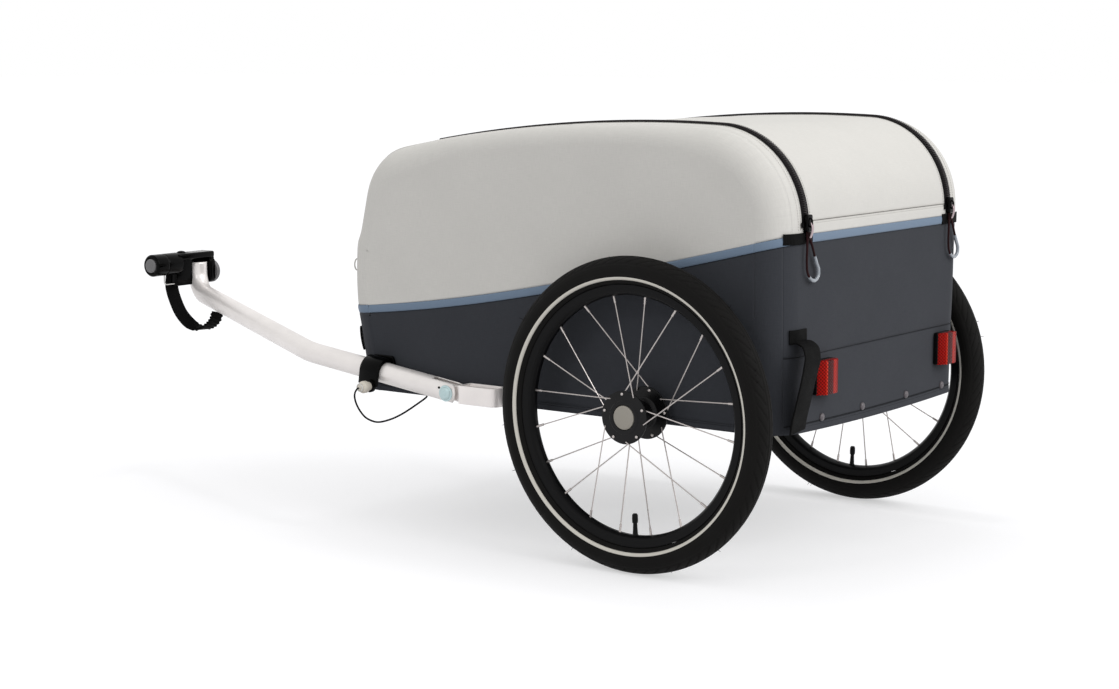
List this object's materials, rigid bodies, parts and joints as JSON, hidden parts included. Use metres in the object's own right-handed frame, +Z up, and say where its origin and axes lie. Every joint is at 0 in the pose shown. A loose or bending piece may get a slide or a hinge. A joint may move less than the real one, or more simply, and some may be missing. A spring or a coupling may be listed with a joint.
{
  "type": "cargo bike trailer",
  "caption": "Cargo trailer for a bicycle: fabric box with zip-off cover on an aluminium frame, spoked wheels, bent side drawbar with hitch coupling.",
  "frame": {"origin": "middle of the footprint, on the ground", "axes": "+X forward along the drawbar, +Y to the trailer's left, +Z up"},
  "size_m": [1.4743, 0.7744, 0.7022],
  "materials": {
    "cover_fabric": "woven coated fabric, warm light grey",
    "panel_fabric": "woven coated fabric, warm grey",
    "skirt_fabric": "heavy woven fabric, anthracite",
    "trim_strip": "smooth blue-grey strip",
    "webbing": "black woven webbing",
    "zip": "black coil zip on a woven tape",
    "aluminium": "satin anodised tube",
    "steel": "bright zinc",
    "hub_black": "black anodised hub, bright spokes",
    "rim_black": "black anodised rim",
    "tyre_rubber": "black tyre with a reflective stripe",
    "button_grey": "warm grey moulded plastic",
    "coupling_black": "black moulded plastic",
    "reflector_red": "red prismatic reflector",
    "pull_cord": "dark red cord with a clear grip",
    "floor_board": "dark grey board",
    "pin_cream": "cream knob on a steel pin"
  },
  "bodies": {
    "chassis": {"floor_panel": "floor_board", "side_rail_left": "aluminium", "side_rail_right": "aluminium", "cross_tube_front": "aluminium", "cross_tube_rear": "aluminium", "axle_beam": "aluminium", "hoop_left": "aluminium", "hoop_right": "aluminium", "top_tube_front": "aluminium", "top_tube_rear": "aluminium", "side_panel_left": "panel_fabric", "side_panel_right": "panel_fabric", "side_skirt_left": "skirt_fabric", "side_skirt_right": "skirt_fabric", "trim_left": "trim_strip", "trim_right": "trim_strip", "trim_front": "trim_strip", "trim_rear": "trim_strip", "front_panel": "cover_fabric", "front_skirt": "skirt_fabric", "rear_skirt": "skirt_fabric", "edge_band_left": "cover_fabric", "edge_band_right": "cover_fabric", "zip_left": "zip", "zip_right": "zip", "corner_tab_left": "webbing", "corner_tab_right": "webbing", "reflector_left": "reflector_red", "reflector_right": "reflector_red", "rivet_rail": "steel", "flag_strap": "webbing", "flag_strap_tab": "webbing", "drawbar_bracket": "aluminium", "hinge_bolt": "steel", "bar_saddle": "coupling_black", "lock_tether": "webbing", "stub_axle_left": "steel", "stub_axle_right": "steel"},
    "cover": {"roof_cover": "cover_fabric"},
    "zip_pull_left": {"zip_slider_left": "steel", "zip_pull_left": "pull_cord"},
    "zip_pull_right": {"zip_slider_right": "steel", "zip_pull_right": "pull_cord"},
    "wheel_left": {"tyre_left": "tyre_rubber", "rim_left": "rim_black", "hub_left": "hub_black", "hub_bearing_left": "steel"},
    "wheel_right": {"tyre_right": "tyre_rubber", "rim_right": "rim_black", "hub_right": "hub_black", "hub_bearing_right": "steel"},
    "hub_button_left": {"hub_button_left": "button_grey"},
    "hub_button_right": {"hub_button_right": "button_grey"},
    "drawbar": {"drawbar_tube": "aluminium", "safety_strap": "webbing"},
    "lock_pin": {"lock_pin": "pin_cream"},
    "coupling": {"coupling_body": "coupling_black", "coupling_pin": "button_grey"},
    "coupling_button": {"coupling_button": "button_grey"},
    "wire_clip": {"wire_clip": "steel"}
  },
  "joints": [
    {"name": "wheel_left_spin", "type": "hinge", "parent": "chassis", "child": "wheel_left", "pos_m": [-0.47822, 0.361, 0.25], "axis": [0, 1, 0], "continuous": true},
    {"name": "wheel_right_spin", "type": "hinge", "parent": "chassis", "child": "wheel_right", "pos_m": [-0.47822, -0.361, 0.25], "axis": [0, 1, 0], "continuous": true},
    {"name": "hub_button_left_press", "type": "slide", "parent": "chassis", "child": "hub_button_left", "axis": [0, -1, 0], "range_m": [0, 0.004], "stiffness_N_per_m": 400, "springref_m": -0.002},
    {"name": "hub_button_right_press", "type": "slide", "parent": "chassis", "child": "hub_button_right", "axis": [0, 1, 0], "range_m": [0, 0.004], "stiffness_N_per_m": 400, "springref_m": -0.002},
    {"name": "drawbar_fold", "type": "hinge", "parent": "chassis", "child": "drawbar", "pos_m": [-0.08622, 0.32, 0.246], "axis": [0, 1, 0], "range_deg": [0, 105], "deforming": ["lock_tether"]},
    {"name": "lock_pin_pull", "type": "slide", "parent": "chassis", "child": "lock_pin", "axis": [0, 1, 0], "range_m": [0, 0.02]},
    {"name": "cover_lift", "type": "hinge", "parent": "chassis", "child": "cover", "pos_m": [0.00178, 0, 0.661], "axis": [0, 1, 0], "range_deg": [0, 100]},
    {"name": "zip_left_run", "type": "slide", "parent": "chassis", "child": "zip_pull_left", "axis": [0, 0, 1], "range_m": [0, 0.05]},
    {"name": "zip_right_run", "type": "slide", "parent": "chassis", "child": "zip_pull_right", "axis": [0, 0, 1], "range_m": [0, 0.05]},
    {"name": "coupling_pitch", "type": "hinge", "parent": "drawbar", "child": "coupling", "pos_m": [0.71078, 0.123, 0.385], "axis": [0, 1, 0], "range_deg": [-20, 20], "deforming": ["safety_strap"]},
    {"name": "coupling_button_press", "type": "slide", "parent": "coupling", "child": "coupling_button", "axis": [0, -1, 0], "range_m": [0, 0.004], "stiffness_N_per_m": 300, "springref_m": -0.002},
    {"name": "wire_clip_swing", "type": "hinge", "parent": "coupling", "child": "wire_clip", "pos_m": [0.71078, 0.19, 0.366], "axis": [0, 1, 0], "range_deg": [-90, 90]}
  ]
}
